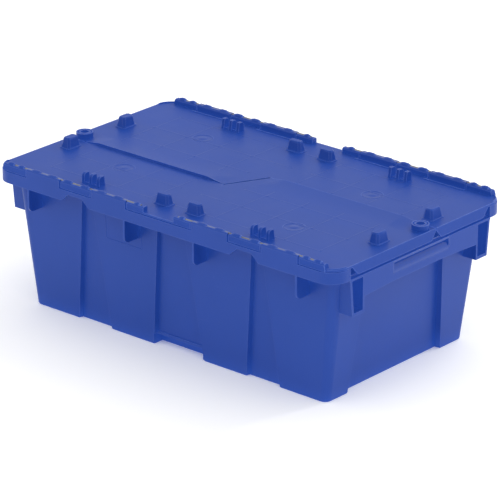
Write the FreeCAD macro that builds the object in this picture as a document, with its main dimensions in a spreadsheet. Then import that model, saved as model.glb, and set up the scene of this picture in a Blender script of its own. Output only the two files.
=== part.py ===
import FreeCAD, Part
import os

# Attached-lid nesting container: one moulded tub, two interlocking lids and
# four steel hinge rods.  Origin: centre of the underside.  +X is the long
# axis, -Y is the front long side, +Z is up.  All lengths are millimetres.

V = FreeCAD.Vector
X_AXIS, Y_AXIS, Z_AXIS = V(1, 0, 0), V(0, 1, 0), V(0, 0, 1)

DIMENSIONS = [
    # overall
    ("half_length", 250.0), ("half_width", 150.0), ("rim_corner", 22.0),
    # tub walls: half sizes at the floor and how far they flare at the top
    ("wall_top", 166.4), ("base_half_length", 217.5), ("end_flare", 21.6),
    ("base_half_width", 121.0), ("side_flare", 9.3),
    ("wall_corner", 14.0), ("foot_corner", 9.0),
    ("side_recess", 5.0), ("side_recess_top", 4.3), ("end_recess", 7.1),
    ("end_recess_top", 6.5), ("wall", 2.6), ("floor", 3.0),
    # rim, skirt and end bands
    ("rim_thick", 2.5), ("skirt_low", 153.0), ("end_rim_top", 153.5),
    ("corner_band_y", 122.0), ("band_low_mid", 130.2), ("band_low_side", 127.9),
    ("notch_top", 162.0), ("rib_low", 125.0),
    # corner pockets on both ends
    ("pocket_in", 99.5), ("pocket_out", 120.5), ("pocket_floor", 113.0),
    ("stop_rib_top", 156.8), ("stop_rib_out", 246.8), ("tray_cap_in", 236.0),
    ("corner_stop", 106.0),
    # moulded grip
    ("grip_half", 48.0), ("grip_depth", 7.0), ("grip_roll", 12.5),
    # hinges
    ("hinge_y", 146.0), ("hinge_z", 175.0), ("rod_radius", 1.5),
    ("rod_start", 27.0), ("rod_end", 230.0), ("fit_fixed", 0.03),
    ("fit_running", 0.06), ("hook_radius", 3.0), ("hook_tip", 1.9), ("hook_ease", 4.0),
    ("lid_ridge_top", 175.7), ("tub_ridge_top", 176.4), ("block_in", 142.0),
    ("knuckle_gap", 1.5), ("slot_in", 136.5),
    # lids
    ("lid_low", 167.0), ("lid_thick", 2.5), ("lid_edge", 149.3),
    ("lid_skirt_low", 156.5), ("seam", 25.0), ("seam_gap", 1.2), ("diagonal_gap", 2.6),
    ("tongue_rise", 3.2), ("lug_height", 12.6), ("fin_height", 11.5),
    ("edge_cut_in", 1.2), ("edge_cut_up", 0.4),
    ("ring_radius", 10.0), ("ring_hole", 5.0), ("ring_height", 6.3),
]

doc = FreeCAD.newDocument("attached_lid_container")
sheet = doc.addObject("Spreadsheet::Sheet", "Dims")
for row, (name, number) in enumerate(DIMENSIONS, start=1):
    sheet.set("A%d" % row, name)
    sheet.set("B%d" % row, str(number))
    sheet.setAlias("B%d" % row, name)
doc.recompute()
D = {name: float(sheet.get(name)) for name, _ in DIMENSIONS}


def bind(obj, prop, value):
    """Set a size; a string is an expression on the sheet."""
    if isinstance(value, str):
        for name, _ in DIMENSIONS:
            value = replace_word(value, name)
        obj.setExpression(prop, value)
    elif prop.startswith("Placement.Base."):
        setattr(obj.Placement.Base, prop[-1], value)
    else:
        setattr(obj, prop, value)


def replace_word(text, name):
    """Point every whole-word use of an alias at the sheet."""
    out, word = [], ""
    for ch in text + " ":
        if ch.isalnum() or ch in "_.":
            word += ch
            continue
        out.append("Dims." + word if word == name else word)
        out.append(ch)
        word = ""
    return "".join(out)[:-1]


def text(value):
    return value if isinstance(value, str) else repr(float(value))


def box(label, x0, x1, y0, y1, z0, z1):
    """Axis-aligned block between two corners."""
    obj = doc.addObject("Part::Box", label)
    for prop, low, high in (("Length", x0, x1), ("Width", y0, y1), ("Height", z0, z1)):
        bind(obj, prop, "(%s) - (%s)" % (text(high), text(low)))
    for axis, low in (("x", x0), ("y", y0), ("z", z0)):
        bind(obj, "Placement.Base." + axis, text(low))
    return obj


def rod(label, x0, x1, radius, y="0 - hinge_y", z="hinge_z"):
    """Cylinder lying along X."""
    obj = doc.addObject("Part::Cylinder", label)
    obj.Placement = FreeCAD.Placement(V(0, 0, 0), FreeCAD.Rotation(Y_AXIS, 90))
    bind(obj, "Radius", text(radius))
    bind(obj, "Height", "(%s) - (%s)" % (text(x1), text(x0)))
    for axis, low in (("x", x0), ("y", y), ("z", z)):
        bind(obj, "Placement.Base." + axis, text(low))
    return obj


def disc(label, x, y, z0, z1, radius):
    """Cylinder standing along Z."""
    obj = doc.addObject("Part::Cylinder", label)
    bind(obj, "Radius", text(radius))
    bind(obj, "Height", "(%s) - (%s)" % (text(z1), text(z0)))
    for axis, low in (("x", x), ("y", y), ("z", z0)):
        bind(obj, "Placement.Base." + axis, text(low))
    return obj


def sketch(label, parts, plane="XY", offset=0.0):
    """Closed profile from points; a 3-point tuple entry is an arc."""
    obj = doc.addObject("Sketcher::SketchObject", label)
    turn = {"XY": FreeCAD.Rotation(), "YZ": FreeCAD.Rotation(V(1, 1, 1), 120),
            "XZ": FreeCAD.Rotation(X_AXIS, 90)}[plane]
    base = {"XY": V(0, 0, offset), "YZ": V(offset, 0, 0), "XZ": V(0, offset, 0)}[plane]
    obj.Placement = FreeCAD.Placement(base, turn)
    for part in parts:
        points = [V(p[0], p[1], 0) for p in part]
        if len(points) == 3:
            obj.addGeometry(Part.Arc(*points), False)
        else:
            obj.addGeometry(Part.LineSegment(*points), False)
    return obj


def chain(points):
    """Straight segments round a closed list of points."""
    return [(a, b) for a, b in zip(points, points[1:] + points[:1])]


def prism(label, profile, direction, length):
    """Extrude a sketch."""
    obj = doc.addObject("Part::Extrusion", label)
    obj.Base = profile
    obj.DirMode = "Custom"
    obj.Dir = direction
    obj.Solid = True
    bind(obj, "LengthFwd", text(length))
    return obj


def loft(label, sections):
    obj = doc.addObject("Part::Loft", label)
    obj.Sections = sections
    obj.Solid = True
    obj.Ruled = True
    return obj


def fuse(label, shapes):
    obj = doc.addObject("Part::MultiFuse", label)
    obj.Shapes = shapes
    return obj


def cut(label, base, tool):
    obj = doc.addObject("Part::Cut", label)
    obj.Base, obj.Tool = base, tool
    return obj


def common(label, base, tool):
    obj = doc.addObject("Part::Common", label)
    obj.Base, obj.Tool = base, tool
    return obj


def mirror(label, source, normal):
    obj = doc.addObject("Part::Mirroring", label)
    obj.Source = source
    obj.Normal = normal
    return obj


def half_turn(label, source):
    """The same shape turned 180 degrees about the vertical axis."""
    return mirror(label, mirror(label + "_x", source, X_AXIS), Y_AXIS)


def four_ways(label, source):
    """A shape and its images in both vertical mid planes."""
    across = mirror(label + "_across", source, X_AXIS)
    pair = fuse(label + "_pair", [source, across])
    return fuse(label, [pair, mirror(label + "_back", pair, Y_AXIS)])


# --------------------------------------------------------------- tub walls

# Raised side panels as (left, right) edges at the floor and at the rim.
SIDE_PANELS = [((None, -148.0), (None, -131.4)), ((-97.0, -33.5), (-119.7, -17.5)),
               ((42.0, 103.5), (17.7, 119.0)), ((152.0, None), (131.5, None))]
LEFT_RAMP, RIGHT_RAMP = (4.0, 3.0), 1.5
# Inner edges of the raised corner columns on an end wall, floor and rim.
END_COLUMNS = [(-85.0, -74.6), (79.7, 52.3)]
END_RAMPS = (5.0, 1.5)
# Height and inset of the outlines that round the foot of the tub.
FOOT_EASE = [(0.0, 1.4), (0.5, 0.5), (1.8, 0.0)]


def mix(pair, share):
    return pair[0] + (pair[1] - pair[0]) * share


def tub_ring(share, inset):
    """Closed outline of the tub wall; share is 0 at the floor and 1 at the rim."""
    xr = D["base_half_length"] + D["end_flare"] * share - inset
    yr = D["base_half_width"] + D["side_flare"] * share - inset
    xc = xr - mix((D["end_recess"], D["end_recess_top"]), share)
    yc = yr - mix((D["side_recess"], D["side_recess_top"]), share)
    radius = mix((D["foot_corner"], D["wall_corner"]), share) - inset
    side = [(-xr + radius, -yr)]
    for floor_edges, rim_edges in SIDE_PANELS:
        if floor_edges[0] is not None:
            left = mix((floor_edges[0], rim_edges[0]), share)
            side += [(left - mix(LEFT_RAMP, share) + inset, -yc), (left + inset, -yr)]
        if floor_edges[1] is not None:
            right = mix((floor_edges[1], rim_edges[1]), share)
            side += [(right - inset, -yr), (right + RIGHT_RAMP - inset, -yc)]
    side.append((xr - radius, -yr))
    near, far = (mix(edges, share) for edges in END_COLUMNS)
    end = [(xr, -yr + radius), (xr, near - inset), (xc, near + END_RAMPS[0] - inset),
           (xc, far - END_RAMPS[1] + inset), (xr, far + inset), (xr, yr - radius)]
    mid = (xr - radius * (1 - 0.70710678), -yr + radius * (1 - 0.70710678))
    half = list(zip(side, side[1:])) + [(side[-1], mid, end[0])] + list(zip(end, end[1:]))
    far_mid = (xr - radius * (1 - 0.70710678), yr - radius * (1 - 0.70710678))
    half.append((end[-1], far_mid, (xr - radius, yr)))
    turned = [tuple((-px, -py) for px, py in part) for part in half]
    return half + turned


def tub_outside():
    """Tapered solid between the floor and the rim, eased at the foot."""
    sections = []
    for number, (z, inset) in enumerate(FOOT_EASE, 1):
        ring = tub_ring(z / D["wall_top"], inset)
        sections.append(sketch("tub_foot_%d" % number, ring, "XY", z))
    rim = sketch("tub_rim", tub_ring(1, 0.0), "XY", D["wall_top"])
    bind(rim, "Placement.Base.z", "wall_top")
    return loft("tub_outer", sections + [rim])


def tub_inside():
    """Room inside the tub, one wall thickness in from the outside."""
    bottom = sketch("tub_hollow_floor", tub_ring(0, D["wall"]), "XY", 0.0)
    rim = sketch("tub_hollow_rim", tub_ring(1, D["wall"]), "XY", D["wall_top"])
    bind(rim, "Placement.Base.z", "wall_top")
    solid = loft("tub_hollow_loft", [bottom, rim])
    keep = box("tub_hollow_keep", -300, 300, -200, 200, "floor", "wall_top + 5")
    return common("tub_hollow", solid, keep)


def rim_outline(inset):
    """Rounded rectangle of the rim, `inset` inside its outer face."""
    x, y = D["half_length"] - inset, D["half_width"] - inset
    r = D["rim_corner"] - inset
    k = r * (1 - 0.70710678)
    quarter = [((x - r, -y), (x - k, -y + k), (x, -y + r)), ((x, -y + r), (x, y - r)),
               ((x, y - r), (x - k, y - k), (x - r, y)), ((x - r, y), (-x + r, y))]
    turned = [tuple((-px, -py) for px, py in part) for part in quarter]
    return quarter + turned


def rim_block(label, inset, z0, z1):
    profile = sketch(label + "_outline", rim_outline(inset), "XY", 0.0)
    bind(profile, "Placement.Base.z", z0)
    return prism(label, profile, Z_AXIS, "(%s) - (%s)" % (z1, z0))


def long_rim():
    """Flange and skirt on the long sides, running round the corners."""
    outer = rim_block("skirt_outer", 0.0, "skirt_low", "wall_top")
    inner = rim_block("skirt_inner", D["rim_thick"], "skirt_low - 1", "wall_top - rim_thick")
    shell = cut("skirt_shell", outer, inner)
    ends = box("end_gap", "0 - half_length - 5", "half_length + 5", "0 - corner_band_y",
               "corner_band_y", "skirt_low - 5", "wall_top + 5")
    tray = cut("skirt_long", shell, ends)
    centre = 124.5
    points = [(centre - 22.0, D["skirt_low"] - 1), (centre - 20.5, D["skirt_low"]),
              (centre - 10.3, D["notch_top"]), (centre + 10.3, D["notch_top"]),
              (centre + 20.5, D["skirt_low"]), (centre + 22.0, D["skirt_low"] - 1)]
    wedge = prism("notch", sketch("notch_profile", chain(points), "XZ", -140.0), V(0, -1, 0), 15)
    notched = cut("skirt_notched", tray, four_ways("notches", wedge))
    cap = box("tray_cap", "tray_cap_in", "half_length", "corner_band_y", "corner_band_y + 2.5",
              "skirt_low", "wall_top")
    return fuse("long_rim", [notched, four_ways("tray_caps", cap)])


def gussets():
    """Thin ribs under the skirt, rounded at the lower outer corner."""
    out, low = -D["half_width"] + 0.3, D["rib_low"]
    parts = [((out, D["wall_top"] - 1), (out, low + 7.5)),
             ((out, low + 7.5), (out + 2.2, low + 2.2), (out + 7.5, low)),
             ((out + 7.5, low), (-120.0, low)), ((-120.0, low), (-120.0, D["wall_top"] - 1)),
             ((-120.0, D["wall_top"] - 1), (out, D["wall_top"] - 1))]
    ribs = []
    for name, x in (("inner", 51.0), ("outer", 197.5)):
        profile = sketch("gusset_%s_profile" % name, parts, "YZ", x - 1.1)
        ribs.append(prism("gusset_" + name, profile, X_AXIS, 2.2))
    return four_ways("gussets", fuse("gusset_set", ribs))


def end_band():
    """Lowered end rim, its stops, band, moulded grip and the two corner pockets."""
    x1 = D["half_length"]
    rim = box("end_rim", 225, "half_length", "-1 - corner_band_y", "corner_band_y + 1",
              "end_rim_top - rim_thick", "end_rim_top")
    low_mid, low_side, inner = D["band_low_mid"], D["band_low_side"], D["pocket_in"] + 1.2
    grip = D["grip_half"]
    wings = []
    for name, sign in (("near", -1), ("far", 1)):
        points = [(sign * grip, low_mid), (sign * inner, low_side),
                  (sign * inner, D["end_rim_top"]), (sign * grip, D["end_rim_top"])]
        profile = sketch("band_%s_profile" % name, chain(points), "YZ", x1 - D["rim_thick"])
        wings.append(prism("band_" + name, profile, X_AXIS, "rim_thick"))
    z_top, depth = D["end_rim_top"] - D["rim_thick"], D["grip_depth"]
    wall, web, z_roll = D["rim_thick"], z_top - 1.8, z_top - D["grip_roll"]
    inmost = x1 - depth - wall
    roll = [((inmost, z_top), (x1 - depth, z_top)), ((x1 - depth, z_top), (x1 - depth, web + 1.0)),
            ((x1 - depth, web + 1.0), (x1 - 1.9, z_top - 5.66), (x1, z_roll)),
            ((x1, z_roll), (x1, low_mid)), ((x1, low_mid), (x1 - wall, low_mid)),
            ((x1 - wall, low_mid), (x1 - wall, z_roll)),
            ((x1 - wall, z_roll), (x1 - 4.4, z_top - 6.1), (inmost + 1.1, web)),
            ((inmost + 1.1, web), (inmost, web)), ((inmost, web), (inmost, z_top))]
    profile = sketch("grip_profile", roll, "XZ", grip + 0.5)
    bar = prism("grip", profile, V(0, -1, 0), "2 * grip_half + 1")
    cheeks = [box("cheek_near", x1 - depth - wall, "half_length", -grip - wall, -grip,
                  low_mid, "end_rim_top"),
              box("cheek_far", x1 - depth - wall, "half_length", grip, grip + wall,
                  low_mid, "end_rim_top")]
    stop_rib = box("stop_rib", "stop_rib_out - rim_thick", "stop_rib_out",
                   "-1 - corner_band_y", "corner_band_y + 1", "end_rim_top - 1", "stop_rib_top")
    stops = [box("corner_stop_" + name, "tray_cap_in", "tray_cap_in + rim_thick", low, high,
                 "end_rim_top - 1", "wall_top")
             for name, low, high in (("near", "-1 - corner_band_y", "0 - corner_stop"),
                                     ("far", "corner_stop", "corner_band_y + 1"))]
    pockets = [pocket("near_pocket", -1), pocket("far_pocket", 1)]
    return fuse("end_parts", [rim, bar, stop_rib] + stops + wings + cheeks + pockets)


def pocket(label, sign):
    """Open-fronted box pocket: inner rib, tapered outer wing and a floor."""
    x1, top, floor = D["half_length"], D["end_rim_top"], D["pocket_floor"]
    inner, outer = D["pocket_in"], D["pocket_out"]
    foot = floor - 3.5
    points = [(sign * (inner - 1.2), foot), (sign * (outer - 2.4), foot),
              (sign * (outer + 2.0), top), (sign * (inner - 1.2), top)]
    hollow = [(sign * (inner + 1.2), floor), (sign * (outer - 4.6), floor),
              (sign * (outer - 1.0), top - D["rim_thick"]),
              (sign * (inner + 1.2), top - D["rim_thick"])]
    start = 222.0
    outside = prism(label + "_block", sketch(label + "_out", chain(points), "YZ", start),
                    X_AXIS, x1 - start)
    inside = prism(label + "_hollow", sketch(label + "_in", chain(hollow), "YZ", start + 6),
                   X_AXIS, x1 - start)
    return cut(label, outside, inside)


def hinge_blocks(label, spans, y_out, z_low, top, edge_cut):
    """Low ridges that carry the hooks, on the front side."""
    out, inner = -y_out, -D["block_in"]
    points = [(inner, z_low), (inner, top - 1.5), (inner - 1.5, top), (out + 1.5, top),
              (out, top - 1.5)]
    if edge_cut:
        points += [(out, z_low + D["edge_cut_up"]), (out + D["edge_cut_in"], z_low)]
    else:
        points.append((out, z_low))
    blocks = []
    for number, (x0, x1) in enumerate(spans, 1):
        name = "%s_%d" % (label, number)
        blocks.append(prism(name, sketch(name + "_profile", chain(points), "YZ", x0),
                            X_AXIS, x1 - x0))
    return blocks


def hooks(label, spots):
    """Round loops that hold the hinge rod, given as (centre, length)."""
    loops, ease = [], D["hook_ease"]
    for number, (x, size) in enumerate(spots, 1):
        name = "%s_%d" % (label, number)
        x0, x1 = x - size / 2, x + size / 2
        loops.append(rod(name, x0 + ease, x1 - ease, "hook_radius"))
        loops.append(tip(name + "_left", x0, "hook_tip", "hook_radius"))
        loops.append(tip(name + "_right", x1 - ease, "hook_radius", "hook_tip"))
    return loops


def tip(label, x, radius_left, radius_right):
    """Tapered end of a hook, lying along X on the front hinge line."""
    obj = doc.addObject("Part::Cone", label)
    obj.Placement = FreeCAD.Placement(V(0, 0, 0), FreeCAD.Rotation(Y_AXIS, 90))
    bind(obj, "Radius1", radius_left)
    bind(obj, "Radius2", radius_right)
    bind(obj, "Height", "hook_ease")
    for axis, low in (("x", x), ("y", "0 - hinge_y"), ("z", "hinge_z")):
        bind(obj, "Placement.Base." + axis, text(low))
    return obj


TUB_SPANS = [(48.5, 100.0), (148.5, 199.5)]
TUB_HOOKS = [(61.5, 14.0), (87.0, 14.0), (161.5, 14.0), (186.5, 14.0)]
# The last lid ridge slopes down to the sheet between these two places.
RIDGE_SLOPE, RIDGE_END = 235.2, 237.0
LID_HOOKS = [(33.0, 9.0), (111.5, 14.0), (137.5, 14.0), (209.5, 10.0), (225.5, 11.0)]


def lid_spans():
    gap = D["knuckle_gap"]
    return [(22.0, 48.5 - gap), (100.0 + gap, 148.5 - gap), (199.5 + gap, RIDGE_END)]


def tub_knuckles():
    """Hinge ridges rising from the skirt between the lid ridges."""
    parts = hinge_blocks("tub_ridge", TUB_SPANS, D["half_width"], D["wall_top"] - 2,
                         D["tub_ridge_top"], False)
    body = fuse("tub_ridge_set", parts + hooks("tub_hook", TUB_HOOKS))
    return four_ways("tub_ridges", body)


def base_step():
    """Inner block behind the central base notch, and the notch itself."""
    block = box("step_block", -37.5, 42.0, -118.0, -103.0, 0, 16)
    notch = box("step_notch", -33.5, 37.5, -130.0, -106.0, -1, 13.0)
    return block, notch


def container_body():
    hollow = tub_inside()
    end = end_band()
    grown = fuse("tub_solid", [tub_outside(), long_rim(), gussets(), end, half_turn("end_back", end),
                               tub_knuckles()])
    opened = cut("tub_open", grown, hollow)
    block, notch = base_step()
    stepped = fuse("tub_stepped", [opened, block, half_turn("step_block_back", block)])
    notches = fuse("base_notches", [notch, half_turn("step_notch_back", notch)])
    bore = rod("tub_bore", "rod_start - 1", "rod_end + 1", "rod_radius + fit_fixed")
    tools = fuse("tub_cutters", [notches, four_ways("tub_bores", bore)])
    return cut("container_body", stepped, tools)


# -------------------------------------------------------------------- lids

LEDGE = (-226.0, -34.0)
RAISED = [(14.5, 0.0), (38.0, 1.0), (204.0, 1.0), (228.0, 0.0)]
SLOPE_START = -6.0
DIAGONAL = 12.7
# Height above the sheet, inset and corner cut of the outlines of a lug.
LUG_SECTIONS = [(-0.5, 0.0, 2.2), (0.7, 0.2, 2.2), (1.3, 1.4, 2.4),
                (D["lug_height"] - 1.6, 3.0, 2.4), (D["lug_height"], 4.3, 1.8)]


def lid_plate():
    """Flat sheet of the front lid with its stepped free edge."""
    x, y, r = D["half_length"], D["lid_edge"], D["rim_corner"] + 0.8
    k = r * (1 - 0.70710678)
    half_gap = D["seam_gap"] / 2
    left, right = -D["seam"] - half_gap, D["seam"] - half_gap
    shift = D["diagonal_gap"] / 2
    lines = [((-x, left), (-x, -y + r)), ((-x, -y + r), (-x + k, -y + k), (-x + r, -y)),
             ((-x + r, -y), (x - r, -y)), ((x - r, -y), (x - k, -y + k), (x, -y + r)),
             ((x, -y + r), (x, right)), ((x, right), (DIAGONAL + shift, right)),
             ((DIAGONAL + shift, right), (-DIAGONAL + shift, left)),
             ((-DIAGONAL + shift, left), (-x, left))]
    profile = sketch("lid_outline", lines, "XY", 0.0)
    bind(profile, "Placement.Base.z", "lid_low")
    return prism("lid_sheet", profile, Z_AXIS, "lid_thick")


def tongue():
    """Raised half of the free edge that laps over the other lid."""
    low, thick = D["lid_low"], D["lid_thick"]
    edge = D["seam"] - D["seam_gap"] / 2
    sections = []
    for number, (x, share) in enumerate(RAISED, 1):
        rise = D["tongue_rise"] * share
        points = [(SLOPE_START, low), (edge, low + rise),
                  (edge, low + thick + rise), (SLOPE_START, low + thick)]
        sections.append(sketch("tongue_%d" % number, chain(points), "YZ", x))
    return loft("tongue_slope", sections)


def ledge():
    """Lowered shelf that the other lid's tongue closes over."""
    top = D["lid_low"] - 0.6
    y0 = -D["seam"] - D["seam_gap"] / 2
    points = [(y0 - 2.5, D["lid_low"] + 1), (y0 - 2.5, top - 2.4), (y0 + 14.0, top - 2.4),
              (y0 + 14.0, top), (y0, top), (y0, D["lid_low"] + 1)]
    profile = sketch("ledge_profile", chain(points), "YZ", LEDGE[0])
    return prism("ledge", profile, X_AXIS, LEDGE[1] - LEDGE[0])


def lid_end_skirts():
    """Drop flanges at both ends, slanted at the corner and at the seam."""
    low, top, x1 = D["lid_skirt_low"], D["lid_low"] + 1, D["half_length"]
    half_gap = D["seam_gap"] / 2
    near = [(-119.0, top), (-119.0, D["lid_low"]), (-109.6, low)]
    right = near + [(18.0, low), (25.0 - half_gap, 166.0), (25.0 - half_gap, top)]
    left = near + [(-34.3, low), (-25.0 - half_gap, 166.0), (-25.0 - half_gap, top)]
    flanges = []
    for name, points, start in (("right", right, x1 - 2.5), ("left", left, -x1)):
        profile = sketch("lid_flange_%s_profile" % name, chain(points), "YZ", start)
        flanges.append(prism("lid_flange_" + name, profile, X_AXIS, 2.5))
    return flanges


def lug(label, x, y, size_x, size_y):
    """Stacking lug: tapered block on a low flange, all its free edges cut off."""
    top = D["lid_low"] + D["lid_thick"]
    sections = []
    for number, (z, inset, corner) in enumerate(LUG_SECTIONS, 1):
        half_x, half_y = size_x / 2 - inset, size_y / 2 - inset
        points = []
        for sx, sy in ((1, -1), (1, 1), (-1, 1), (-1, -1)):
            pair = [(x + sx * (half_x - corner), y + sy * half_y),
                    (x + sx * half_x, y + sy * (half_y - corner))]
            points += pair if sx * sy < 0 else pair[::-1]
        sections.append(sketch("%s_%d" % (label, number), chain(points), "XY", top + z))
    return loft(label, sections)


def comb():
    """Three short fins on a low foot, beside the middle hinge ridge."""
    top, tall = D["lid_low"] + D["lid_thick"], D["fin_height"]
    foot = box("comb_foot", 111.5, 137.5, -123.0, -116.0, top - 0.5, top + 1.2)
    parts = [((-124.0, top - 0.5), (-124.0, top + tall - 4.0)),
             ((-124.0, top + tall - 4.0), (-122.83, top + tall - 1.17), (-120.0, top + tall)),
             ((-120.0, top + tall), (-116.0, top + tall)),
             ((-116.0, top + tall), (-114.0, top - 0.5)), ((-114.0, top - 0.5), (-124.0, top - 0.5))]
    fins = []
    for number, x in enumerate((113.2, 124.5, 135.8), 1):
        profile = sketch("fin_%d_profile" % number, parts, "YZ", x - 2.0)
        fins.append(prism("fin_%d" % number, profile, X_AXIS, 4.0))
    whole = fuse("comb", [foot] + fins)
    return fuse("combs", [whole, mirror("comb_left", whole, X_AXIS)])


def slot_rails():
    """Low rails on the sheet along the inner edge of each hinge slot."""
    top, gap = D["lid_low"] + D["lid_thick"], D["knuckle_gap"]
    rails = [box("slot_rail_%d" % n, x0 - gap - 1.2, x1 + gap + 1.2, "0 - slot_in",
                 "1.2 - slot_in", top - 0.5, top + 1.0)
             for n, (x0, x1) in enumerate(TUB_SPANS, 1)]
    pair = fuse("slot_rail_set", rails)
    return fuse("slot_rails", [pair, mirror("slot_rails_left", pair, X_AXIS)])


def ring_boss():
    """Seal boss with two concentric rims on the tongue."""
    top = D["lid_low"] + D["lid_thick"]
    body = disc("ring_body", 238.0, 12.3, top - 1.0, "lid_low + lid_thick + ring_height - 1.2",
                "ring_radius")
    rim = disc("ring_rim", 238.0, 12.3, top - 1.0, "lid_low + lid_thick + ring_height",
               "ring_hole + 2")
    lip = disc("ring_lip", 238.0, 12.3, top - 1.0, "lid_low + lid_thick + ring_height",
               "ring_radius")
    lip_hollow = disc("ring_lip_hollow", 238.0, 12.3, top, "lid_low + lid_thick + ring_height + 1",
                      "ring_radius - 1.4")
    return fuse("ring_boss", [body, rim, cut("ring_edge", lip, lip_hollow)])


def front_lid():
    sheet_cut = box("slope_space", RAISED[0][0], RAISED[-1][0], SLOPE_START, 60,
                    "lid_low - 1", "lid_low + lid_thick + 1")
    flat = cut("lid_flat", lid_plate(), sheet_cut)
    spans = hinge_blocks("lid_ridge", lid_spans(), D["lid_edge"], D["lid_low"],
                         D["lid_ridge_top"], True)
    square = fuse("lid_ridge_set", spans + hooks("lid_hook", LID_HOOKS))
    top = D["lid_low"] + D["lid_thick"]
    points = [(RIDGE_SLOPE, D["lid_ridge_top"]), (RIDGE_END, top), (RIDGE_END + 5, top),
              (RIDGE_END + 5, 180.0), (RIDGE_SLOPE, 180.0)]
    slope = prism("ridge_slope", sketch("ridge_slope_profile", chain(points), "XZ", -140.0),
                  V(0, -1, 0), 15)
    ridge = cut("lid_ridge_sloped", square, slope)
    ridges = fuse("lid_ridges", [ridge, mirror("lid_ridge_left", ridge, X_AXIS)])
    end_lug = lug("end_lug", 227.7, -47.0, 16.4, 23.1)
    mid_lug = lug("mid_lug", 23.0, -113.4, 22.9, 14.6)
    pair = fuse("lug_pair", [end_lug, mid_lug])
    lugs = fuse("lugs", [pair, mirror("lug_pair_left", pair, X_AXIS)])
    extras = [tongue(), ledge(), ridges, lugs, comb(), slot_rails(), ring_boss()]
    grown = fuse("lid_grown", [flat] + extras + lid_end_skirts())
    gap = D["knuckle_gap"]
    slots = [box("lid_slot_%d" % n, x0 - gap, x1 + gap, -160, "0 - slot_in",
                 "lid_low - 2", "hinge_z + 8")
             for n, (x0, x1) in enumerate(TUB_SPANS, 1)]
    bore = rod("lid_bore", "rod_start - 0.5", "rod_end + 0.5", "rod_radius + fit_running")
    side = fuse("lid_side_cut", slots + [bore])
    low, out = D["lid_low"], -D["lid_edge"]
    cut_in, cut_up = D["edge_cut_in"], D["edge_cut_up"]
    edge = prism("edge_bevel", sketch("edge_bevel_profile", chain(
        [(out - 1.0, low - 1.0), (out + cut_in, low - 1.0), (out + cut_in, low),
         (out, low + cut_up), (out - 1.0, low + cut_up)]), "YZ", -240.0), X_AXIS, 480.0)
    hole = disc("ring_bore", 238.0, 12.3, "lid_low - 2", "lid_low + 20", "ring_hole")
    medals = [disc("medal_right", 131.0, -73.5, D["lid_low"] + D["lid_thick"] - 0.4,
                   "lid_low + 5", 12.5),
              disc("medal_left", -133.5, -59.0, D["lid_low"] + D["lid_thick"] - 0.4,
                   "lid_low + 5", 12.5)]
    tools = fuse("lid_cutters", [side, mirror("lid_side_cut_left", side, X_AXIS), hole, edge]
                 + medals)
    return cut("front_lid", grown, tools)


# ------------------------------------------------------------------ pieces

body = container_body()
front = front_lid()
back = half_turn("back_lid", front)
pieces = [body, front, back]
for side_name, side_y in (("front", "0 - hinge_y"), ("back", "hinge_y")):
    for end_name, x0, x1 in (("left", "0 - rod_end", "0 - rod_start"),
                             ("right", "rod_start", "rod_end")):
        pieces.append(rod("%s_%s_hinge_rod" % (side_name, end_name), x0, x1, "rod_radius",
                          side_y))
doc.recompute()

faults = []
for obj in doc.Objects:
    if "Invalid" in obj.State or "Error" in obj.State:
        faults.append(obj.Label + " " + str(obj.State))
for piece in pieces:
    if piece.Shape.isNull() or not piece.Shape.isValid():
        faults.append(piece.Label + " has a bad shape")
if faults:
    raise RuntimeError("; ".join(faults))

os.makedirs("parts", exist_ok=True)
for piece in pieces:
    piece.Shape.exportStep(os.path.join("parts", piece.Label + ".step"))
    print(piece.Label, len(piece.Shape.Solids), "solid(s)", piece.Shape.BoundBox)
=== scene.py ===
"""Looks for the attached-lid nesting container.

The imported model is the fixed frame.  This script gives its moulded and
steel parts their finishes, adds the moulding marks, and sets up a plain
studio.  Sizes are in millimetres until a mesh is finished.
"""

import logging
import math
from dataclasses import dataclass, field, replace
from enum import Enum
from typing import Iterable

import bmesh
import bpy
from mathutils import Matrix, Vector


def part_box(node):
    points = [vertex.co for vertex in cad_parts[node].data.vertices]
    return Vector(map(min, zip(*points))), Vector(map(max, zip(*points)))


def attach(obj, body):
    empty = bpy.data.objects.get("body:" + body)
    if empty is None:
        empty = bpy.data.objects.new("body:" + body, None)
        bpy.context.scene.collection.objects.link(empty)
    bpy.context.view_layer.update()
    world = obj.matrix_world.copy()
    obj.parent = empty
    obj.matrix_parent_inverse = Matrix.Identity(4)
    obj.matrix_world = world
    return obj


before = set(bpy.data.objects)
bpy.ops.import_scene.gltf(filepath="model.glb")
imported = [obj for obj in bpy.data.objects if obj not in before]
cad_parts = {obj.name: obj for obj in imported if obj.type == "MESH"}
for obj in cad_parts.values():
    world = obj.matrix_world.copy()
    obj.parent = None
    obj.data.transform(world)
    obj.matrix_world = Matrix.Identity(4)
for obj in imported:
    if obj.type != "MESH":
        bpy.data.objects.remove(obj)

LOG = logging.getLogger("container")
MM = 0.001
Point2 = tuple[float, float]
Point3 = tuple[float, float, float]
Colour = tuple[float, float, float, float]
NUMBER = "NodeSocketFloat"
BLACK: Colour = (0.0, 0.0, 0.0, 1.0)
WHITE: Colour = (1.0, 1.0, 1.0, 1.0)
DEEP_BLUE: Colour = (0.0105, 0.052, 0.312, 1.0)
PALE_BLUE: Colour = (0.014, 0.058, 0.336, 1.0)
# colour of rubbed plastic, also used as the painted highlight on edges
RUBBED_AND_HIGHLIGHT_BLUE: Colour = (0.095, 0.165, 0.52, 1.0)
UP = Vector((0.0, 0.0, 1.0))
AO_SAMPLES = 8
WELD_DISTANCE = 1e-5  # metres
FLAT_ANGLE = 0.0087  # radians, below it two faces count as one
SHARP_ANGLE = 0.6  # radians, above it an edge is rounded
EDGE_SEGMENTS = 2
NORMAL_WEIGHT = 60
RIDGE_FOOT = 0.3  # millimetres of a ridge below the face it lies on


class Body(Enum):
    """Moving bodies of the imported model."""

    TUB = "container"
    FRONT = "front_lid"
    BACK = "back_lid"


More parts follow.
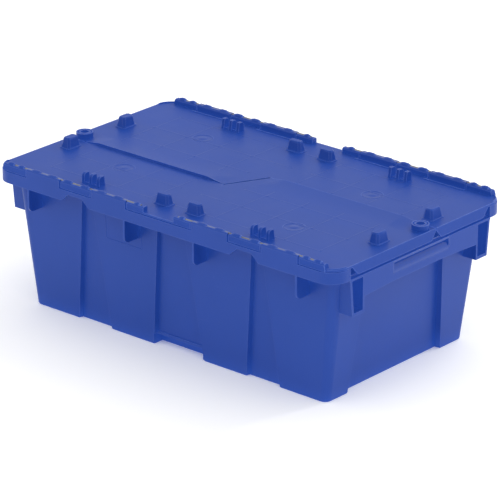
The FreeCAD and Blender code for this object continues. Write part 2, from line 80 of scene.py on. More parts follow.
class Slot(Enum):
    """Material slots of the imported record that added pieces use."""

    TUB = "tub_plastic"
    LID = "lid_plastic"


class Side(Enum):
    """Half of the container that a lid covers; the value is its turn."""

    FRONT = 0.0
    BACK = math.pi


# ------------------------------------------------------------ shader groups


class GroupDraft:
    """A shader node group under construction."""

    def __init__(self, name: str) -> None:
        """Start an empty group.

        Args:
            name: name of the node group.
        """
        self.tree = bpy.data.node_groups.new(name, "ShaderNodeTree")
        self.inlet = self.tree.nodes.new("NodeGroupInput")
        self.outlet = self.tree.nodes.new("NodeGroupOutput")

    def take(self, name: str, value: float) -> None:
        """Add a number input.

        Args:
            name: socket name.
            value: default value.
        """
        socket = self.tree.interface.new_socket(name=name, in_out="INPUT", socket_type=NUMBER)
        socket.default_value = value

    def give(self, name: str, source: bpy.types.NodeSocket) -> None:
        """Add a number output fed by another node.

        Args:
            name: socket name.
            source: socket that feeds it.
        """
        self.tree.interface.new_socket(name=name, in_out="OUTPUT", socket_type=NUMBER)
        self.tree.links.new(source, self.outlet.inputs[name])

    def node(self, kind: str, **settings: object) -> bpy.types.Node:
        """Add a node and set its properties.

        Args:
            kind: node type without the ShaderNode prefix.
            settings: properties of the node.

        Returns:
            The new node.
        """
        made = self.tree.nodes.new("ShaderNode" + kind)
        for name, value in settings.items():
            setattr(made, name, value)
        return made

    def join(self, source: object, node: bpy.types.Node, socket: object) -> None:
        """Feed a node input from a socket, a group input name or a number.

        Args:
            source: socket, name of a group input, or plain value.
            node: node that receives it.
            socket: name or number of the input.
        """
        target = node.inputs[socket]
        if isinstance(source, str):
            self.tree.links.new(self.inlet.outputs[source], target)
        elif isinstance(source, bpy.types.NodeSocket):
            self.tree.links.new(source, target)
        else:
            target.default_value = source

    def math(self, operation: str, first: object,
             second: object = None) -> bpy.types.NodeSocket:
        """Add a Math node.

        Args:
            operation: Blender's name of the operation.
            first: first operand, as for join().
            second: second operand, as for join(), if there is one.

        Returns:
            The result socket.
        """
        made = self.node("Math", operation=operation)
        self.join(first, made, 0)
        if second is not None:
            self.join(second, made, 1)
        return made.outputs[0]

    def noise(self, vector: bpy.types.NodeSocket, scale: object, detail: float,
              rough: float) -> bpy.types.NodeSocket:
        """Add a noise texture.

        Args:
            vector: coordinates.
            scale: features per metre, as for join().
            detail: octaves.
            rough: roughness of the octaves.

        Returns:
            The value socket.
        """
        made = self.node("TexNoise")
        self.join(vector, made, "Vector")
        self.join(scale, made, "Scale")
        made.inputs["Detail"].default_value = detail
        made.inputs["Roughness"].default_value = rough
        return made.outputs[0]

    def window(self, value: object, low: object, high: object) -> bpy.types.NodeSocket:
        """Smooth step from 0 at low to 1 at high.

        Args:
            value: what is compared, as for join().
            low: lower edge.
            high: upper edge.

        Returns:
            The result socket.
        """
        made = self.node("MapRange", interpolation_type="SMOOTHSTEP")
        self.join(value, made, "Value")
        self.join(low, made, "From Min")
        self.join(high, made, "From Max")
        return made.outputs["Result"]

    def place(self) -> bpy.types.NodeSocket:
        """Coordinates fixed to the piece, in metres."""
        return self.node("TexCoord").outputs["Object"]

    def stretched(self, vector: bpy.types.NodeSocket, scale: Point3) -> bpy.types.NodeSocket:
        """Scale coordinates along the axes.

        Args:
            vector: coordinates.
            scale: factor on each axis.

        Returns:
            The scaled coordinates.
        """
        made = self.node("VectorMath", operation="MULTIPLY")
        self.join(vector, made, 0)
        made.inputs[1].default_value = scale
        return made.outputs[0]


def moulded_grain_group() -> bpy.types.NodeTree:
    """Fine sparked texture of the mould face, with a slow waviness.

    Returns:
        The group: Grain Scale, Grain Depth, Wave Depth in; Height, Fleck out.
    """
    draft = GroupDraft("moulded_grain")
    draft.take("Grain Scale", 1400.0)
    draft.take("Grain Depth", 0.00003)
    draft.take("Wave Depth", 0.0001)
    pit_density, pit_smoothness, pit_share = 0.55, 0.6, 0.5
    place = draft.place()
    fine = draft.noise(place, "Grain Scale", detail=3.0, rough=0.62)
    pits = draft.node("TexVoronoi", feature="SMOOTH_F1")
    draft.join(place, pits, "Vector")
    draft.join(draft.math("MULTIPLY", "Grain Scale", pit_density), pits, "Scale")
    pits.inputs["Smoothness"].default_value = pit_smoothness
    mixed = draft.math("ADD", fine,
                       draft.math("MULTIPLY", pits.outputs["Distance"], pit_share))
    wave = draft.noise(place, scale=14.0, detail=1.0, rough=0.4)
    height = draft.math("ADD", draft.math("MULTIPLY", mixed, "Grain Depth"),
                        draft.math("MULTIPLY", wave, "Wave Depth"))
    draft.give("Height", height)
    draft.give("Fleck", draft.window(fine, low=0.35, high=0.75))
    return draft.tree


def melt_flow_group() -> bpy.types.NodeTree:
    """Cloudy colour changes left by the melt as it filled the mould.

    Returns:
        The group: Cloud Scale, Streak Amount in; Mask out, about 0 to 1.
    """
    draft = GroupDraft("melt_flow")
    draft.take("Cloud Scale", 9.0)
    draft.take("Streak Amount", 0.4)
    place = draft.place()
    cloud = draft.noise(place, "Cloud Scale", detail=3.0, rough=0.55)
    drawn_out = draft.stretched(place, (1.0, 4.0, 0.7))
    streak = draft.noise(drawn_out, scale=22.0, detail=4.0, rough=0.6)
    mean = 0.5
    level = draft.math("MULTIPLY", draft.math("SUBTRACT", streak, mean), "Streak Amount")
    draft.give("Mask", draft.window(draft.math("ADD", cloud, level), low=0.25, high=0.75))
    return draft.tree


def edge_wear_and_highlight_group() -> bpy.types.NodeTree:
    """Rubbed outer edges with a painted highlight: a lighter line where little plastic lies
    behind the surface, partly real wear and partly painted highlight.

    Returns:
        The group: Width, Low, High, Breakup in; Mask out.
    """
    draft = GroupDraft("edge_wear_and_highlight")
    draft.take("Width", 0.0009)
    draft.take("Low", 0.03)
    draft.take("High", 0.2)
    draft.take("Breakup", 0.5)
    depth = draft.node("AmbientOcclusion", samples=AO_SAMPLES, inside=True, only_local=True)
    draft.join("Width", depth, "Distance")
    edge = draft.window(draft.math("SUBTRACT", 1.0, depth.outputs["AO"]), "Low", "High")
    patch = draft.noise(draft.place(), scale=120.0, detail=4.0, rough=0.65)
    broken = draft.math("MULTIPLY", draft.window(patch, low=0.72, high=0.38), "Breakup")
    draft.give("Mask", draft.math("MULTIPLY", edge, draft.math("SUBTRACT", 1.0, broken)))
    return draft.tree


def painted_gap_light_group() -> bpy.types.NodeTree:
    """Painted light in narrow gaps and hollows: an emission that lifts occluded places, painted
    in place of the shade that falls there.

    Returns:
        The group: Reach, Low, High in; Mask out.
    """
    draft = GroupDraft("painted_gap_light")
    draft.take("Reach", 0.03)
    draft.take("Low", 0.15)
    draft.take("High", 0.9)
    gap = draft.node("AmbientOcclusion", samples=AO_SAMPLES)
    draft.join("Reach", gap, "Distance")
    draft.give("Mask", draft.window(draft.math("SUBTRACT", 1.0, gap.outputs["AO"]),
                                    "Low", "High"))
    return draft.tree


def polished_band_group() -> bpy.types.NodeTree:
    """Polished strip of the mould along the grips on both ends.

    Returns:
        The group: Start, Half Length, Low in, in metres; Mask out.
    """
    draft = GroupDraft("polished_band")
    draft.take("Start", 0.243)
    draft.take("Half Length", 0.049)
    draft.take("Low", 0.1385)
    split = draft.node("SeparateXYZ")
    draft.join(draft.place(), split, 0)
    outer = draft.math("GREATER_THAN", draft.math("ABSOLUTE", split.outputs["X"]), "Start")
    middle = draft.math("LESS_THAN", draft.math("ABSOLUTE", split.outputs["Y"]), "Half Length")
    high = draft.math("GREATER_THAN", split.outputs["Z"], "Low")
    draft.give("Mask", draft.math("MULTIPLY", draft.math("MULTIPLY", outer, middle), high))
    return draft.tree


def scuff_group() -> bpy.types.NodeTree:
    """Fine scratches in two directions, gathered in patches.

    Returns:
        The group: Density in; Mask out.
    """
    draft = GroupDraft("handling_scuffs")
    draft.take("Density", 0.5)
    place = draft.place()
    lengthwise = draft.stretched(place, (9.0, 420.0, 60.0))
    along = draft.noise(lengthwise, scale=1.0, detail=3.0, rough=0.6)
    crosswise = draft.stretched(place, (380.0, 14.0, 45.0))
    across = draft.noise(crosswise, scale=1.0, detail=3.0, rough=0.6)
    lines = draft.math("MAXIMUM", draft.window(along, low=0.66, high=0.74),
                       draft.window(across, low=0.68, high=0.76))
    spots = draft.noise(place, scale=17.0, detail=3.0, rough=0.6)
    patch = draft.window(spots, low=0.48, high=0.68)
    draft.give("Mask", draft.math("MULTIPLY", draft.math("MULTIPLY", lines, patch), "Density"))
    return draft.tree


def dust_group() -> bpy.types.NodeTree:
    """Thin dust that settles on faces that look up.

    Returns:
        The group: Amount in; Mask out.
    """
    draft = GroupDraft("settled_dust")
    draft.take("Amount", 0.2)
    split = draft.node("SeparateXYZ")
    draft.join(draft.node("NewGeometry").outputs["Normal"], split, 0)
    upward = draft.window(split.outputs["Z"], low=0.6, high=1.0)
    spots = draft.noise(draft.place(), scale=26.0, detail=5.0, rough=0.62)
    cloud = draft.window(spots, low=0.4, high=0.8)
    draft.give("Mask", draft.math("MULTIPLY", draft.math("MULTIPLY", upward, cloud), "Amount"))
    return draft.tree


class Groups:
    """Shared shader groups, each built once."""

    def __init__(self) -> None:
        """Build all groups."""
        self.grain = moulded_grain_group()
        self.flow = melt_flow_group()
        self.wear_and_highlight = edge_wear_and_highlight_group()
        # painted light for gaps and hollows
        self.painted_gap_glow = painted_gap_light_group()
        self.polish = polished_band_group()
        self.scuffs = scuff_group()
        self.dust = dust_group()


# ----------------------------------------------------------------- finishes


class MaterialDraft:
    """A material under construction, with its Principled shader."""

    def __init__(self, name: str) -> None:
        """Start a material.

        Args:
            name: name of the material.
        """
        self.material = bpy.data.materials.new(name)
        self.material.use_nodes = True
        self.tree = self.material.node_tree
        self.tree.nodes.clear()
        out = self.tree.nodes.new("ShaderNodeOutputMaterial")
        self.shader = self.tree.nodes.new("ShaderNodeBsdfPrincipled")
        self.tree.links.new(self.shader.outputs["BSDF"], out.inputs["Surface"])

    def group(self, tree: bpy.types.NodeTree, **values: float) -> bpy.types.Node:
        """Place a shader group and set its inputs.

        Args:
            tree: the group.
            values: input values, with _ for a space in the name.

        Returns:
            The group node.
        """
        made = self.tree.nodes.new("ShaderNodeGroup")
        made.node_tree = tree
        for name, value in values.items():
            made.inputs[name.replace("_", " ")].default_value = value
        return made

    def blend(self, mask: bpy.types.NodeSocket, under: object, over: Colour,
              strength: float = 1.0) -> bpy.types.NodeSocket:
        """Mix a colour over another by a mask.

        Args:
            mask: where the upper colour shows.
            under: colour or colour socket beneath.
            over: the upper colour.
            strength: share of the upper colour at full mask.

        Returns:
            The mixed colour.
        """
        share = self.scale(mask, strength)
        made = self.tree.nodes.new("ShaderNodeMix")
        made.data_type = "RGBA"
        self.tree.links.new(share, made.inputs["Factor"])
        if isinstance(under, bpy.types.NodeSocket):
            self.tree.links.new(under, made.inputs["A"])
        else:
            made.inputs["A"].default_value = under
        made.inputs["B"].default_value = over
        return made.outputs["Result"]

    def scale(self, source: bpy.types.NodeSocket, factor: float,
              base: object = 0.0) -> bpy.types.NodeSocket:
        """Multiply a value and add a base to it.

        Args:
            source: value socket.
            factor: multiplier.
            base: number or socket that is added.

        Returns:
            The result socket.
        """
        made = self.tree.nodes.new("ShaderNodeMath")
        made.operation = "MULTIPLY_ADD"
        self.tree.links.new(source, made.inputs[0])
        made.inputs[1].default_value = factor
        if isinstance(base, bpy.types.NodeSocket):
            self.tree.links.new(base, made.inputs[2])
        else:
            made.inputs[2].default_value = base
        return made.outputs[0]

    def bump(self, height: bpy.types.NodeSocket) -> None:
        """Feed the shader's normal from a height in metres.

        Args:
            height: height socket.
        """
        made = self.tree.nodes.new("ShaderNodeBump")
        made.inputs["Strength"].default_value = 1.0
        made.inputs["Distance"].default_value = 1.0
        self.tree.links.new(height, made.inputs["Height"])
        self.tree.links.new(made.outputs["Normal"], self.shader.inputs["Normal"])

    def feed(self, source: bpy.types.NodeSocket, socket: str) -> None:
        """Link a socket to a shader input."""
        self.tree.links.new(source, self.shader.inputs[socket])


@dataclass(frozen=True)
class MouldedPlastic:
    """Injection-moulded polyolefin with a sparked mould texture."""

    name: str
    deep: Colour
    pale: Colour
    rubbed_and_highlight: Colour
    roughness: float = 0.42
    grain_scale: float = 1500.0
    grain_depth: float = 0.00003
    wave_depth: float = 0.00022
    # emission colour of the painted light in gaps and hollows
    painted_gap_glow: Colour = (0.011, 0.036, 0.16, 1.0)
    # share of the lighter edge colour: partly rubbed wear, partly painted highlight
    wear_and_highlight: float = 0.75
    dust: float = 0.03
    scuffs: float = 0.35
    polish: float = 0.0
    coat: float = 0.0
    coat_roughness: float = 0.14
    gloss: float = 0.25
    ior: float = 1.49
    cloud_scale: float = 8.0
    streaks: float = 0.45
    wear_breakup: float = 0.5
    fleck_share: float = 0.18
    scuff_share: float = 0.5
    scuff_depth: float = 0.00002
    dust_colour: Colour = (0.42, 0.43, 0.47, 1.0)
    flow_roughens: float = 0.05
    dust_roughens: float = 0.3
    wear_smooths: float = 0.07

    def build(self, groups: Groups) -> bpy.types.Material:
        """Make the material.

        Args:
            groups: shared shader groups.

        Returns:
            The material.
        """
        draft = MaterialDraft(self.name)
        flow = draft.group(groups.flow, Cloud_Scale=self.cloud_scale,
                           Streak_Amount=self.streaks)
        grain = draft.group(groups.grain, Grain_Scale=self.grain_scale,
                            Grain_Depth=self.grain_depth, Wave_Depth=self.wave_depth)
        wear_and_highlight = draft.group(groups.wear_and_highlight, Breakup=self.wear_breakup)
        scuffs = draft.group(groups.scuffs, Density=self.scuffs)
        dust = draft.group(groups.dust, Amount=self.dust)
        colour = draft.blend(flow.outputs["Mask"], self.deep, self.pale)
        colour = draft.blend(grain.outputs["Fleck"], colour, self.pale, self.fleck_share)
        colour = draft.blend(scuffs.outputs["Mask"], colour, self.rubbed_and_highlight, self.scuff_share)
        # lighter edges: rubbed wear together with a painted highlight
        colour = draft.blend(wear_and_highlight.outputs["Mask"], colour, self.rubbed_and_highlight, self.wear_and_highlight)
        colour = draft.blend(dust.outputs["Mask"], colour, self.dust_colour)
        draft.feed(colour, "Base Color")
        rough = draft.scale(flow.outputs["Mask"], self.flow_roughens, self.roughness)
        rough = draft.scale(dust.outputs["Mask"], self.dust_roughens, rough)
        rough = draft.scale(wear_and_highlight.outputs["Mask"], -self.wear_smooths, rough)
        band = draft.group(groups.polish)
        draft.feed(draft.scale(band.outputs["Mask"], -self.polish, rough), "Roughness")
        draft.feed(draft.scale(band.outputs["Mask"], self.coat), "Coat Weight")
        draft.shader.inputs["Coat Roughness"].default_value = self.coat_roughness
        # painted light: emission in gaps and hollows in place of their shade
        gap = draft.group(groups.painted_gap_glow)
        draft.feed(draft.blend(gap.outputs["Mask"], BLACK, self.painted_gap_glow), "Emission Color")
        draft.shader.inputs["Emission Strength"].default_value = 1.0
        draft.bump(draft.scale(scuffs.outputs["Mask"], -self.scuff_depth,
                               grain.outputs["Height"]))
        draft.shader.inputs["IOR"].default_value = self.ior
        draft.shader.inputs["Specular IOR Level"].default_value = self.gloss
        return draft.material


@dataclass(frozen=True)
class DrawnSteel:
    """Zinc-bright drawn wire with fine drawing lines along its length."""

    name: str
    bright: Colour
    dull: Colour
    roughness: float = 0.36
    grain_scale: float = 2600.0
    grain_depth: float = 0.00001
    wave_depth: float = 0.00001
    cloud_scale: float = 60.0
    streaks: float = 0.9
    scuffs: float = 0.9
    fleck_share: float = 0.3
    flow_smooths: float = 0.1
    scuff_roughens: float = 0.2

    def build(self, groups: Groups) -> bpy.types.Material:
        """Make the material.

        Args:
            groups: shared shader groups.

        Returns:
            The material.
        """
        draft = MaterialDraft(self.name)
        flow = draft.group(groups.flow, Cloud_Scale=self.cloud_scale,
                           Streak_Amount=self.streaks)
        scuffs = draft.group(groups.scuffs, Density=self.scuffs)
        grain = draft.group(groups.grain, Grain_Scale=self.grain_scale,
                            Grain_Depth=self.grain_depth, Wave_Depth=self.wave_depth)
        colour = draft.blend(flow.outputs["Mask"], self.dull, self.bright)
        colour = draft.blend(grain.outputs["Fleck"], colour, self.dull, self.fleck_share)
        draft.feed(colour, "Base Color")
        rough = draft.scale(flow.outputs["Mask"], -self.flow_smooths, self.roughness)
        draft.feed(draft.scale(scuffs.outputs["Mask"], self.scuff_roughens, rough), "Roughness")
        draft.shader.inputs["Metallic"].default_value = 1.0
        draft.bump(grain.outputs["Height"])
        return draft.material


@dataclass(frozen=True)
class StudioPaper:
    """Matt white paper of the floor, with a faint light of its own."""

    name: str = "studio_paper"
    white: Colour = (0.99, 0.99, 0.99, 1.0)
    roughness: float = 0.95
    lit: float = 0.12

    def build(self) -> bpy.types.Material:
        """Make the material.

        Returns:
            The material.
        """
        draft = MaterialDraft(self.name)
        draft.shader.inputs["Base Color"].default_value = self.white
        draft.shader.inputs["Roughness"].default_value = self.roughness
        draft.shader.inputs["Specular IOR Level"].default_value = 0.0
        draft.shader.inputs["Emission Color"].default_value = self.white
        draft.shader.inputs["Emission Strength"].default_value = self.lit
        return draft.material


@dataclass
class Finishes:
    """All finishes of the container."""

    groups: Groups
    tub: bpy.types.Material = field(init=False)
    lid: bpy.types.Material = field(init=False)
    marks: bpy.types.Material = field(init=False)
    steel: bpy.types.Material = field(init=False)

    def __post_init__(self) -> None:
        """Build each material once; the lids' small marks carry no edge wear or painted edge
        highlight.
        """
        tub = MouldedPlastic("tub_blue", DEEP_BLUE, PALE_BLUE, RUBBED_AND_HIGHLIGHT_BLUE, roughness=0.38,
                             wear_and_highlight=0.35, polish=0.2, coat=0.3)
        lid = MouldedPlastic("lid_blue", DEEP_BLUE, PALE_BLUE, RUBBED_AND_HIGHLIGHT_BLUE,
                             grain_depth=0.00004, dust=0.015, gloss=0.16)
        steel = DrawnSteel("hinge_wire", bright=(0.26, 0.26, 0.29, 1.0),
                           dull=(0.15, 0.15, 0.18, 1.0))
        self.tub = tub.build(self.groups)
        self.lid = lid.build(self.groups)
        self.marks = replace(lid, name="mark_blue", wear_and_highlight=0.0).build(self.groups)
        self.steel = steel.build(self.groups)


# ------------------------------------------------------------- mesh drafting


class MeshDraft:
    """Closed solids gathered in one mesh, in millimetres."""

    def __init__(self) -> None:
        """Start an empty mesh."""
        self.bm = bmesh.new()

    def solid(self, rings: list[list[Point3]]) -> None:
        """Skin a stack of rings with equal point counts and close both ends.

        Args:
            rings: outlines in order, each anticlockwise seen from the last.
        """
        rows = [[self.bm.verts.new(point) for point in ring] for ring in rings]
        count = len(rows[0])
        for low, high in zip(rows, rows[1:]):
            for i in range(count):
                j = (i + 1) % count
                self.bm.faces.new((low[i], low[j], high[j], high[i]))
        self.bm.faces.new(list(reversed(rows[0])))
        self.bm.faces.new(rows[-1])

    def block(self, low: Point3, high: Point3, draft: float = 0.0,
              hanging: bool = False) -> None:
        """Box whose free end is narrower by the draft.

        Args:
            low: lowest corner.
            high: highest corner.
            draft: inset of the free end on each side.
            hanging: the free end is the lower one.
        """
        rings = []
        for z, inset in ((low[2], draft if hanging else 0.0),
                         (high[2], 0.0 if hanging else draft)):
            left, near = low[0] + inset, low[1] + inset
            right, far = high[0] - inset, high[1] - inset
            rings.append([(left, near, z), (right, near, z), (right, far, z), (left, far, z)])
        self.solid(rings)

    def lathe(self, centre: Point2, profile: list[Point2], steps: int) -> None:
        """Turn a profile round a vertical axis.

        Args:
            centre: place of the axis.
            profile: (radius, height) points, the first and last on the axis.
            steps: segments of the turn.
        """
        rows = []
        for radius, z in profile:
            turns = [2 * math.pi * k / steps for k in range(steps if radius else 1)]
            rows.append([self.bm.verts.new((centre[0] + radius * math.cos(t),
                                            centre[1] + radius * math.sin(t), z))
                         for t in turns])
        for near, far in zip(rows, rows[1:]):
            for i in range(steps):
                j = (i + 1) % steps
                if len(near) == 1:
                    self.bm.faces.new((near[0], far[j], far[i]))
                elif len(far) == 1:
                    self.bm.faces.new((near[i], near[j], far[0]))
                else:
                    self.bm.faces.new((near[i], near[j], far[j], far[i]))

    def ridge(self, start: Point3, end: Point3, width: float, height: float,
              out: Vector) -> None:
        """Low rounded ridge that lies on a face.

        Args:
            start: first end of its centre line, on the face.
            end: second end.
            width: width at its foot.
            height: how far it stands above the face.
            out: outward direction of the face.
        """
        tip, narrowest = 0.3, 0.6
        first, last = Vector(start), Vector(end)
        along = (last - first).normalized()
        across = along.cross(out).normalized()
        half = [(0.5, -RIDGE_FOOT), (0.5, 0.0), (0.3, 0.6 * height), (0.12, height)]
        shape = [(-0.5, -RIDGE_FOOT)] + half + [(-u, v) for u, v in half[:0:-1]]
        rings = []
        for place, share in ((first, tip), (first + along * width, 1.0),
                             (last - along * width, 1.0), (last, tip)):
            breadth = narrowest + (1.0 - narrowest) * share
            rings.append([tuple(place + across * (u * width * breadth)
                                + out * (v if v < 0 else v * share)) for u, v in shape])
        self.solid(rings)

    def finish(self, name: str, turn: float = 0.0) -> bpy.types.Object:
        """Make the object, in metres.

        Args:
            name: name of the piece.
            turn: turn about the vertical axis, in radians.

        Returns:
            The new object.
        """
        bmesh.ops.recalc_face_normals(self.bm, faces=self.bm.faces)
        self.bm.transform(Matrix.Rotation(turn, 4, "Z") @ Matrix.Scale(MM, 4))
        mesh = bpy.data.meshes.new(name)
        self.bm.to_mesh(mesh)
        self.bm.free()
        for face in mesh.polygons:
            face.use_smooth = True
        piece = bpy.data.objects.new(name, mesh)
        bpy.context.scene.collection.objects.link(piece)
        return piece


def weld(piece: bpy.types.Object) -> None:
    """Join the split corners of a CAD mesh."""
    piece.modifiers.new("joined", "WELD").merge_threshold = WELD_DISTANCE


def soften(piece: bpy.types.Object, width: float, cad: bool = False) -> None:
    """Round the sharp edges of a piece with modifiers.

    Args:
        piece: the object.
        width: width of the rounding in millimetres.
        cad: it is a CAD mesh, whose corners and flat triangles are joined first.
    """
    if cad:
        weld(piece)
        flat = piece.modifiers.new("flat_faces", "DECIMATE")
        flat.decimate_type = "DISSOLVE"
        flat.angle_limit = FLAT_ANGLE
    rounding = piece.modifiers.new("soft_edges", "BEVEL")
    rounding.width = width * MM
    rounding.segments = EDGE_SEGMENTS
    rounding.limit_method = "ANGLE"
    rounding.angle_limit = SHARP_ANGLE
    shading = piece.modifiers.new("face_shading", "WEIGHTED_NORMAL")
    shading.weight = NORMAL_WEIGHT
    shading.keep_sharp = False


def dress(piece: bpy.types.Object, finish: bpy.types.Material) -> None:
    """Give a piece one material on all its faces.

    Args:
        piece: the object.
        finish: its material.
    """
    if not piece.material_slots:
        piece.data.materials.append(finish)
    for entry in piece.material_slots:
        entry.link = "OBJECT"
        entry.material = finish


def fit(piece: bpy.types.Object, body: Body, finish: bpy.types.Material) -> None:
    """Fix an added piece to a body and give it its finish.

    Args:
        piece: the object.
        body: body that carries it.
        finish: its material.
    """
    dress(piece, finish)
    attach(piece, body.value)
    LOG.info("piece %s rides on %s", piece.name, body.value)


# ------------------------------------------------------------ sub-assemblies


@dataclass
class Tub:
    """The moulded tub and its wall marks."""

    finishes: Finishes
    edge: float = 0.7
    panel_face: float = 121.0
    flare_per_mm: float = 9.3 / 166.0
    label_span: Point2 = (-98.0, -44.6)
    label_low: float = 113.5
    label_high: float = 151.0
    line_width: float = 1.1
    line_rise: float = 0.14

    def build(self) -> None:
        """Dress the tub and add its marks on both long walls."""
        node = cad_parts["container_body"]
        soften(node, self.edge, cad=True)
        dress(node, self.finishes.tub)
        LOG.info("dressed container_body")
        for side in Side:
            self.label_frame(side)

    def wall_y(self, z: float) -> float:
        """Y of the raised front panels at a height."""
        return -self.panel_face - self.flare_per_mm * z

    def label_frame(self, side: Side) -> None:
        """Fine raised frame for a label on the second wall panel.

        Args:
            side: front or back wall.
        """
        draft = MeshDraft()
        out = Vector((0.0, -1.0, -self.flare_per_mm)).normalized()
        left, right = self.label_span
        low = (self.wall_y(self.label_low), self.label_low)
        high = (self.wall_y(self.label_high), self.label_high)
        corners = [(left, *high), (left, *low), (right, *low), (right, *high)]
        for start, end in zip(corners, corners[1:]):
            draft.ridge(start, end, self.line_width, self.line_rise, out)
        piece = draft.finish("label_frame_" + side.name.lower(), side.value)
        fit(piece, Body.TUB, self.finishes.marks)


@dataclass
class Lid:
    """One lid: its finish, sink lines, pips, date inserts and under ribs."""

    side: Side
    finishes: Finishes
    edge: float = 0.7
    lug_height: float = 12.6
    plate: float = 2.5
    rib_x: tuple[float, ...] = (-197.0, -147.0, -97.0, -47.0, 47.0, 97.0, 147.0, 197.0)
    rib_y: tuple[float, ...] = (-110.0, -65.0, -22.0)
    rib_depth: float = 5.0
    rib_half: float = 0.9
    rib_draft: float = 0.3
    rib_sunk: float = 0.4
    rib_ends: Point2 = (7.0, -28.0)
    inner_rib_left: float = -8.0
    mouth_x: float = 221.0
    mouth_y: float = -118.0
    line_width: float = 2.4
    line_rise: float = 0.018
    line_ends: Point2 = (0.5, -31.0)
    outer_spans: tuple[Point2, ...] = ((-200.0, -40.0), (-12.0, 200.0))
    inner_spans: tuple[Point2, ...] = ((15.0, 200.0),)
    pip_shift: Point2 = (1.5, 1.0)
    pip_profile: tuple[Point2, ...] = (
        (0.0, -0.3), (1.9, -0.3), (1.9, 0.05), (1.2, 0.14), (0.0, 0.16))
    pip_steps: int = 20
    inserts: tuple[Point2, ...] = ((131.0, -73.5), (-133.5, -59.0))
    insert_profile: tuple[Point2, ...] = (
        (0.0, -0.7), (12.3, -0.7), (12.3, 0.12), (11.6, 0.12), (11.2, -0.12),
        (4.6, -0.12), (4.3, 0.0), (0.0, 0.0))
    insert_steps: int = 48
    bead_centre: Point2 = (227.2, -126.5)
    bead_radius: float = 22.5
    bead_profile: tuple[Point2, ...] = ((0.0, -0.4), (1.5, -0.4), (1.3, 1.3), (0.3, 1.3))
    bead_steps: int = 12
    bead_taper: float = 0.25
    bead_edge: float = 0.3

    def __post_init__(self) -> None:
        """Read the lid's place from the frame."""
        self.body = Body[self.side.name]
        self.tag = self.side.name.lower() + "_lid"
        self.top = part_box(self.tag)[1].z / MM - self.lug_height
        self.under = self.top - self.plate

    def build(self) -> None:
        """Dress the lid and add its pieces."""
        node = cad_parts[self.tag]
        soften(node, self.edge, cad=True)
        dress(node, self.finishes.lid)
        LOG.info("dressed %s", self.tag)
        self.sink_lines()
        self.pips()
        self.date_inserts()
        self.under_ribs()
        self.corner_beads()

    def end_at(self, x: float, ends: Point2) -> float:
        """Y of an inner end at a place along the lid, from the right and left half's ends."""
        return ends[0] if x > 0 else ends[1]

    def disc(self, draft: MeshDraft, centre: Point2, profile: tuple[Point2, ...],
             steps: int) -> None:
        """Add a round mark to a draft.

        Args:
            draft: the mesh.
            centre: centre of the mark.
            profile: (radius, height over the top face) points.
            steps: segments of the turn.
        """
        draft.lathe(centre, [(radius, self.top + rise) for radius, rise in profile], steps)

    def add(self, draft: MeshDraft, name: str,
            finish: bpy.types.Material | None = None) -> bpy.types.Object:
        """Finish a draft as a piece of this lid.

        Args:
            draft: the mesh.
            name: last part of the piece's name.
            finish: its material, the lid's own by default.

        Returns:
            The piece.
        """
        piece = draft.finish(self.tag + "_" + name, self.side.value)
        fit(piece, self.body, finish or self.finishes.lid)
        return piece

    def sink_lines(self) -> None:
        """Faint lines on the top face over the ribs below."""
        draft = MeshDraft()
        for x in self.rib_x:
            end = self.end_at(x, self.line_ends)
            draft.ridge((x, self.rib_y[0], self.top), (x, end, self.top),
                        self.line_width, self.line_rise, UP)
        for y in self.rib_y:
            for low, high in self.inner_spans if y == self.rib_y[-1] else self.outer_spans:
                draft.ridge((low, y, self.top), (high, y, self.top),
                            self.line_width, self.line_rise, UP)
        self.add(draft, "sink_lines", self.finishes.marks)

    def pips(self) -> None:
        """Small round marks where ribs cross on the right half."""
        draft = MeshDraft()
        for x in self.rib_x[4:]:
            for y in self.rib_y[1:]:
                self.disc(draft, (x + self.pip_shift[0], y + self.pip_shift[1]),
                          self.pip_profile, self.pip_steps)
        self.add(draft, "pips", self.finishes.marks)

    def date_inserts(self) -> None:
        """Blank round inserts: a rim, a flat face and a plain centre stud."""
        draft = MeshDraft()
        for centre in self.inserts:
            self.disc(draft, centre, self.insert_profile, self.insert_steps)
        self.add(draft, "date_inserts", self.finishes.marks)

    def corner_beads(self) -> None:
        """Thin raised bead round each outer corner of the plate."""
        draft = MeshDraft()
        x, y = self.bead_centre
        quarter = math.pi / 2
        for sign in (-1.0, 1.0):
            rings = []
            for step in range(self.bead_steps + 1):
                angle = -quarter + quarter * step / self.bead_steps
                share = self.bead_taper if step in (0, self.bead_steps) else 1.0
                east, north = sign * math.cos(angle), math.sin(angle)
                rings.append([(sign * x + east * (self.bead_radius - inset),
                               y + north * (self.bead_radius - inset), self.top + up * share)
                              for inset, up in self.bead_profile])
            draft.solid(rings)
        soften(self.add(draft, "corner_beads"), self.bead_edge)

    def under_ribs(self) -> None:
        """Stiffening ribs below the plate, inside the mouth of the tub."""
        draft = MeshDraft()
        low, high = self.under - self.rib_depth, self.under + self.rib_sunk
        for x in self.rib_x:
            draft.block((x - self.rib_half, self.mouth_y, low),
                        (x + self.rib_half, self.end_at(x, self.rib_ends), high),
                        self.rib_draft, hanging=True)
        for y in self.rib_y:
            left = self.inner_rib_left if y == self.rib_y[-1] else -self.mouth_x
            draft.block((left, y - self.rib_half, low), (self.mouth_x, y + self.rib_half, high),
                        self.rib_draft, hanging=True)
        self.add(draft, "under_ribs")


@dataclass
class HingeRods:
    """The four drawn-wire rods."""

    finishes: Finishes

    def build(self) -> None:
        """Dress each rod."""
        for name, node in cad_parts.items():
            if name.endswith("hinge_rod"):
                weld(node)
                dress(node, self.finishes.steel)
                LOG.info("dressed %s", name)


# --------------------------------------------------------------------- stage


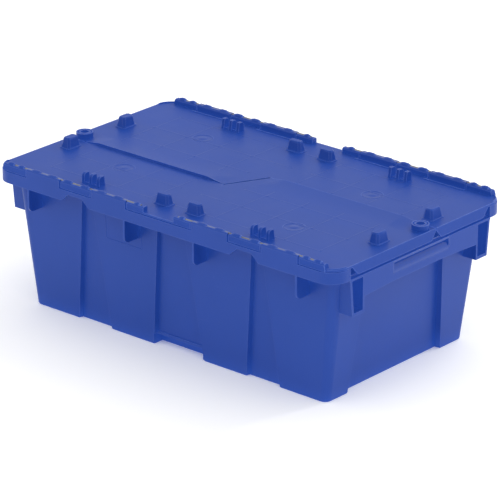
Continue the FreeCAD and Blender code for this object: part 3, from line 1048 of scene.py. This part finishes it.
@dataclass
class Camera:
    """Long-lens camera above the front right corner."""

    azimuth: float = 40.602
    elevation: float = 21.732
    roll: float = -0.144
    distance: float = 4053.7
    target: Point3 = (2.426, 2.754, 85.759)
    lens: float = 257.56
    sensor: float = 36.0
    reach: float = 100.0

    def build(self) -> None:
        """Create the camera and make it the scene's."""
        az, el, roll = (math.radians(a) for a in (self.azimuth, self.elevation, self.roll))
        back = Vector((math.sin(az) * math.cos(el), -math.cos(az) * math.cos(el), math.sin(el)))
        right = UP.cross(back).normalized()
        up = back.cross(right)
        turn = Matrix((right, up, back)).transposed() @ Matrix.Rotation(-roll, 3, "Z")
        data = bpy.data.cameras.new("studio_camera")
        data.lens = self.lens
        data.sensor_width = self.sensor
        data.clip_end = self.reach
        camera = bpy.data.objects.new("studio_camera", data)
        camera.matrix_world = Matrix.Translation(
            (Vector(self.target) + back * self.distance) * MM) @ turn.to_4x4()
        bpy.context.scene.collection.objects.link(camera)
        bpy.context.scene.camera = camera


@dataclass(frozen=True)
class SoftLight:
    """A square soft box aimed at the container."""

    name: str
    place: Point3
    size: float
    power: float
    aim: Point3 = (0.0, 0.0, 0.1)

    def build(self) -> None:
        """Create the light."""
        data = bpy.data.lights.new(self.name, "AREA")
        data.shape = "SQUARE"
        data.size = self.size
        data.energy = self.power
        light = bpy.data.objects.new(self.name, data)
        light.location = self.place
        towards = Vector(self.aim) - light.location
        light.rotation_euler = towards.to_track_quat("-Z", "Y").to_euler()
        bpy.context.scene.collection.objects.link(light)


@dataclass
class Studio:
    """Pale floor, white surroundings and soft boxes."""

    floor_half: float = 14.0
    floor_depth: float = 0.02
    surround: float = 1.03
    lights: tuple[SoftLight, ...] = (
        SoftLight("back_box", (0.1, 1.9, 2.3), 1.5, 7.5),
        SoftLight("right_box", (2.4, -0.6, 1.3), 1.4, 2.6),
        SoftLight("glint_box", (1.05, 2.0, 1.75), 0.28, 9.0),
    )

    def build(self) -> None:
        """Create floor, world and lights."""
        draft = MeshDraft()
        edge = self.floor_half / MM
        draft.block((-edge, -edge, -self.floor_depth / MM), (edge, edge, 0.0))
        floor = draft.finish("studio_floor")
        dress(floor, StudioPaper().build())
        world = bpy.data.worlds.new("studio_world")
        world.use_nodes = True
        backdrop = world.node_tree.nodes["Background"]
        backdrop.inputs["Color"].default_value = WHITE
        backdrop.inputs["Strength"].default_value = self.surround
        bpy.context.scene.world = world
        for light in self.lights:
            light.build()
        bpy.context.scene.view_settings.view_transform = "Standard"
        LOG.info("studio ready")


def main() -> None:
    """Build every class in order."""
    logging.basicConfig(level=logging.INFO, format="%(name)s: %(message)s")
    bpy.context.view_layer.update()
    finishes = Finishes(Groups())
    Tub(finishes).build()
    for side in Side:
        Lid(side, finishes).build()
    HingeRods(finishes).build()
    Camera().build()
    Studio().build()


if __name__ == "__main__":
    main()
